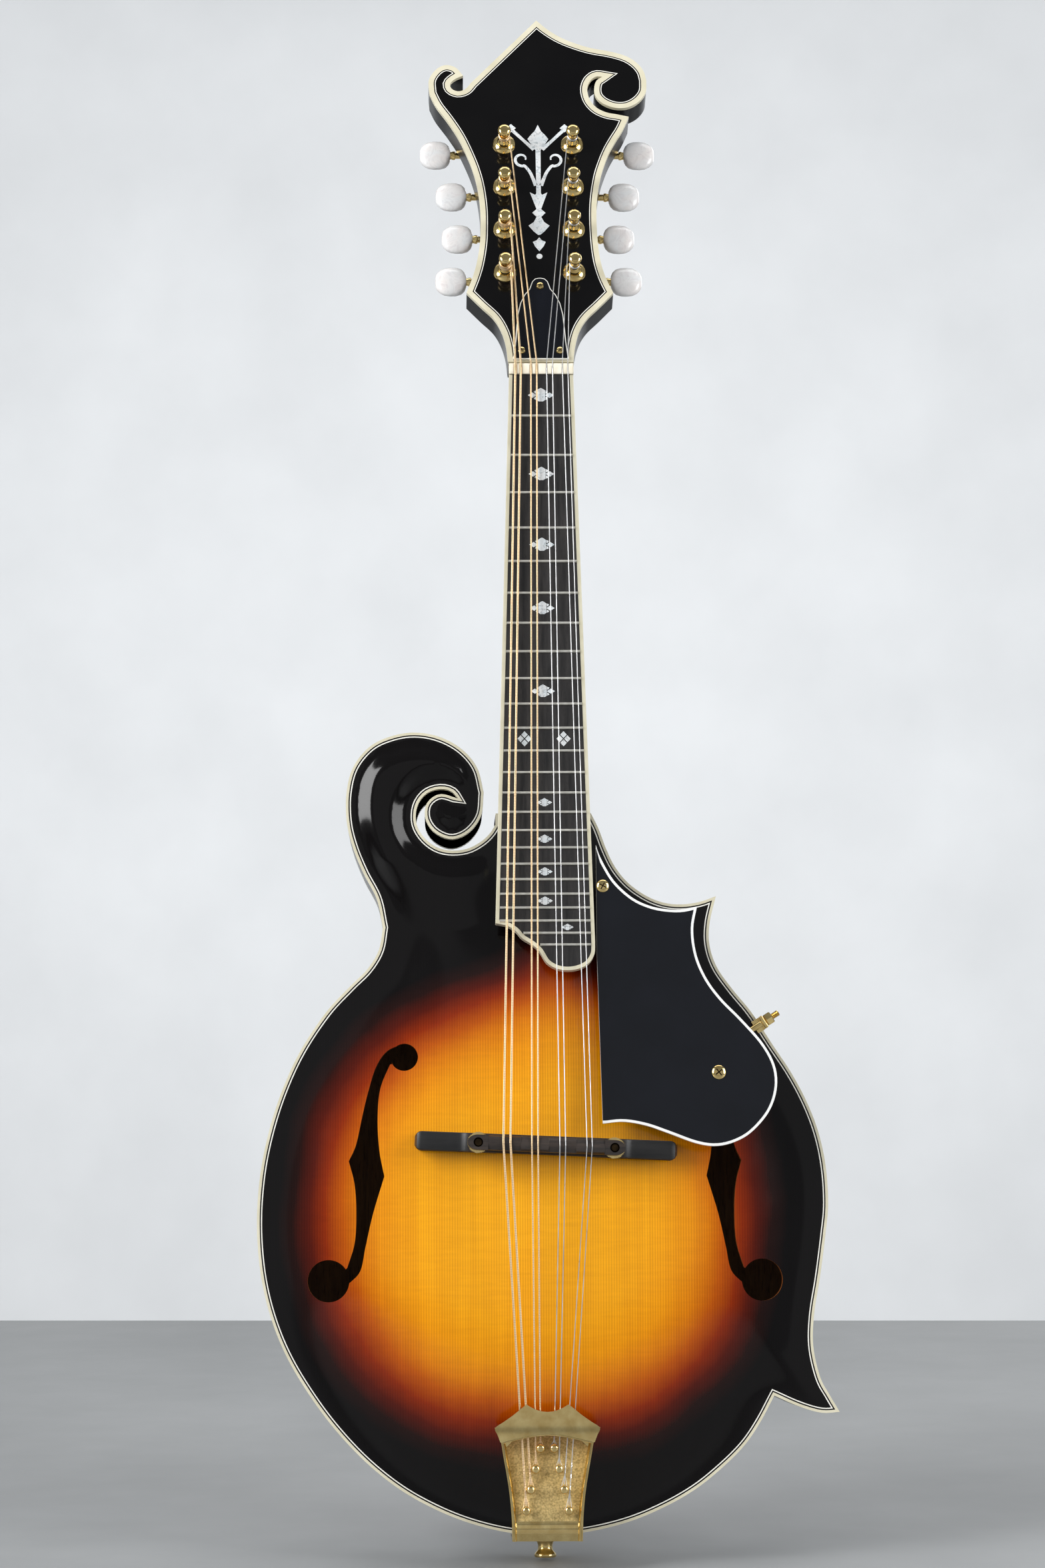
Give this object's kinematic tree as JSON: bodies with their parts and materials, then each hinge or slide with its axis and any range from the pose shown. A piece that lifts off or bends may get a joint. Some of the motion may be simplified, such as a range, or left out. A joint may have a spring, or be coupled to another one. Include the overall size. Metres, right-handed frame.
{
  "type": "mandolin",
  "caption": "Carved f-hole mandolin with scroll, points, geared tuners, adjustable bridge and cast tailpiece; the keys turn the posts and the bridge height adjusts.",
  "frame": {"origin": "centre of the strap button's flat end face, at mid depth of the sides", "axes": "+Z from the tail up the body to the headstock, +X to the treble side, -Y out of the face"},
  "size_m": [0.2584, 0.1067, 0.719],
  "materials": {
    "spruce_sunburst": "carved spruce under gloss lacquer, amber centre shading through red-brown to black at the edge",
    "black_lacquer": "gloss black lacquer over maple",
    "cream_binding": "aged cream binding with a thin black and a thin white line inside it",
    "raw_maple": "unfinished maple and mahogany, inside",
    "raw_spruce": "unfinished spruce, inside",
    "ebony": "oiled ebony with open fine pores",
    "black_plastic": "black sheet with a white line at its edge",
    "bone": "polished bone",
    "gold_plate": "gold plate, polished, with sand-textured recess on the tailpiece",
    "pearloid": "swirled white pearloid button on a gold shaft",
    "steel": "plain drawn steel",
    "bronze_wound": "bronze-wound string"
  },
  "bodies": {
    "body": {"top_plate": "spruce_sunburst", "back_plate": "black_lacquer", "top_binding": "cream_binding", "back_binding": "cream_binding", "rim": "black_lacquer", "head_block": "raw_maple", "point_block_upper": "raw_maple", "point_block_lower": "raw_maple", "tail_block": "raw_maple", "tone_bar_bass": "raw_spruce", "tone_bar_treble": "raw_spruce", "neck": "black_lacquer", "head_veneer": "black_lacquer", "head_binding": "cream_binding", "truss_cover": "black_plastic", "truss_rod": "steel", "truss_nut": "gold_plate", "fretboard": "ebony", "fretboard_binding": "cream_binding", "nut": "bone", "board_riser": "black_lacquer", "tuner_plate_bass": "gold_plate", "tuner_plate_treble": "gold_plate", "bridge_base": "ebony", "bridge_stud_bass": "gold_plate", "bridge_stud_treble": "gold_plate", "tailpiece": "gold_plate", "strap_button": "gold_plate", "pickguard": "black_plastic", "guard_clamp": "gold_plate", "guard_rod": "gold_plate", "guard_nut": "gold_plate", "string_1": "bronze_wound", "string_2": "bronze_wound", "string_3": "bronze_wound", "string_4": "bronze_wound", "string_5": "steel", "string_6": "steel", "string_7": "steel", "string_8": "steel"},
    "key_bass_1": {"key_bass_1": "pearloid"},
    "post_bass_1": {"post_bass_1": "gold_plate"},
    "key_bass_2": {"key_bass_2": "pearloid"},
    "post_bass_2": {"post_bass_2": "gold_plate"},
    "key_bass_3": {"key_bass_3": "pearloid"},
    "post_bass_3": {"post_bass_3": "gold_plate"},
    "key_bass_4": {"key_bass_4": "pearloid"},
    "post_bass_4": {"post_bass_4": "gold_plate"},
    "key_treble_1": {"key_treble_1": "pearloid"},
    "post_treble_1": {"post_treble_1": "gold_plate"},
    "key_treble_2": {"key_treble_2": "pearloid"},
    "post_treble_2": {"post_treble_2": "gold_plate"},
    "key_treble_3": {"key_treble_3": "pearloid"},
    "post_treble_3": {"post_treble_3": "gold_plate"},
    "key_treble_4": {"key_treble_4": "pearloid"},
    "post_treble_4": {"post_treble_4": "gold_plate"},
    "saddle": {"bridge_saddle": "ebony"},
    "wheel_bass": {"thumbwheel_bass": "gold_plate"},
    "wheel_treble": {"thumbwheel_treble": "gold_plate"}
  },
  "joints": [
    {"name": "turn_key_bass_1", "type": "hinge", "parent": "body", "child": "key_bass_1", "pos_m": [-0.016, 0.01764, 0.58633], "axis": [-1, 0, 0], "continuous": true},
    {"name": "turn_post_bass_1", "type": "hinge", "parent": "body", "child": "post_bass_1", "pos_m": [-0.016, -0.00371, 0.58567], "axis": [0, 0.9553, -0.2957], "continuous": true},
    {"name": "turn_key_bass_2", "type": "hinge", "parent": "body", "child": "key_bass_2", "pos_m": [-0.016, 0.0245, 0.6085], "axis": [-1, 0, 0], "continuous": true},
    {"name": "turn_post_bass_2", "type": "hinge", "parent": "body", "child": "post_bass_2", "pos_m": [-0.016, 0.00315, 0.60783], "axis": [0, 0.9553, -0.2957], "continuous": true},
    {"name": "turn_key_bass_3", "type": "hinge", "parent": "body", "child": "key_bass_3", "pos_m": [-0.016, 0.03136, 0.63066], "axis": [-1, 0, 0], "continuous": true},
    {"name": "turn_post_bass_3", "type": "hinge", "parent": "body", "child": "post_bass_3", "pos_m": [-0.016, 0.01001, 0.62999], "axis": [0, 0.9553, -0.2957], "continuous": true},
    {"name": "turn_key_bass_4", "type": "hinge", "parent": "body", "child": "key_bass_4", "pos_m": [-0.016, 0.03822, 0.65282], "axis": [-1, 0, 0], "continuous": true},
    {"name": "turn_post_bass_4", "type": "hinge", "parent": "body", "child": "post_bass_4", "pos_m": [-0.016, 0.01687, 0.65216], "axis": [0, 0.9553, -0.2957], "continuous": true},
    {"name": "turn_key_treble_1", "type": "hinge", "parent": "body", "child": "key_treble_1", "pos_m": [0.016, 0.01764, 0.58633], "axis": [1, 0, 0], "continuous": true},
    {"name": "turn_post_treble_1", "type": "hinge", "parent": "body", "child": "post_treble_1", "pos_m": [0.016, -0.00371, 0.58567], "axis": [0, 0.9553, -0.2957], "continuous": true},
    {"name": "turn_key_treble_2", "type": "hinge", "parent": "body", "child": "key_treble_2", "pos_m": [0.016, 0.0245, 0.6085], "axis": [1, 0, 0], "continuous": true},
    {"name": "turn_post_treble_2", "type": "hinge", "parent": "body", "child": "post_treble_2", "pos_m": [0.016, 0.00315, 0.60783], "axis": [0, 0.9553, -0.2957], "continuous": true},
    {"name": "turn_key_treble_3", "type": "hinge", "parent": "body", "child": "key_treble_3", "pos_m": [0.016, 0.03136, 0.63066], "axis": [1, 0, 0], "continuous": true},
    {"name": "turn_post_treble_3", "type": "hinge", "parent": "body", "child": "post_treble_3", "pos_m": [0.016, 0.01001, 0.62999], "axis": [0, 0.9553, -0.2957], "continuous": true},
    {"name": "turn_key_treble_4", "type": "hinge", "parent": "body", "child": "key_treble_4", "pos_m": [0.016, 0.03822, 0.65282], "axis": [1, 0, 0], "continuous": true},
    {"name": "turn_post_treble_4", "type": "hinge", "parent": "body", "child": "post_treble_4", "pos_m": [0.016, 0.01687, 0.65216], "axis": [0, 0.9553, -0.2957], "continuous": true},
    {"name": "saddle_lift", "type": "slide", "parent": "body", "child": "saddle", "axis": [0, -1, 0], "range_m": [-0.001, 0.0015], "deforming": ["string_1", "string_2", "string_3", "string_4", "string_5", "string_6", "string_7", "string_8"]},
    {"name": "turn_wheel_bass", "type": "hinge", "parent": "saddle", "child": "wheel_bass", "pos_m": [-0.02997, -0.048, 0.18291], "axis": [0, -1, 0], "range_deg": [-460, 690]},
    {"name": "turn_wheel_treble", "type": "hinge", "parent": "saddle", "child": "wheel_treble", "pos_m": [0.02997, -0.048, 0.18029], "axis": [0, -1, 0], "range_deg": [-460, 690]}
  ],
  "couplings": [
    {"joint": "turn_post_bass_1", "follows": "turn_key_bass_1", "ratio": 0.066667},
    {"joint": "turn_post_bass_2", "follows": "turn_key_bass_2", "ratio": 0.066667},
    {"joint": "turn_post_bass_3", "follows": "turn_key_bass_3", "ratio": 0.066667},
    {"joint": "turn_post_bass_4", "follows": "turn_key_bass_4", "ratio": 0.066667},
    {"joint": "turn_post_treble_1", "follows": "turn_key_treble_1", "ratio": -0.066667},
    {"joint": "turn_post_treble_2", "follows": "turn_key_treble_2", "ratio": -0.066667},
    {"joint": "turn_post_treble_3", "follows": "turn_key_treble_3", "ratio": -0.066667},
    {"joint": "turn_post_treble_4", "follows": "turn_key_treble_4", "ratio": -0.066667},
    {"joint": "turn_wheel_bass", "follows": "saddle_lift", "rad_per_m": 7854},
    {"joint": "turn_wheel_treble", "follows": "saddle_lift", "rad_per_m": 7854}
  ]
}
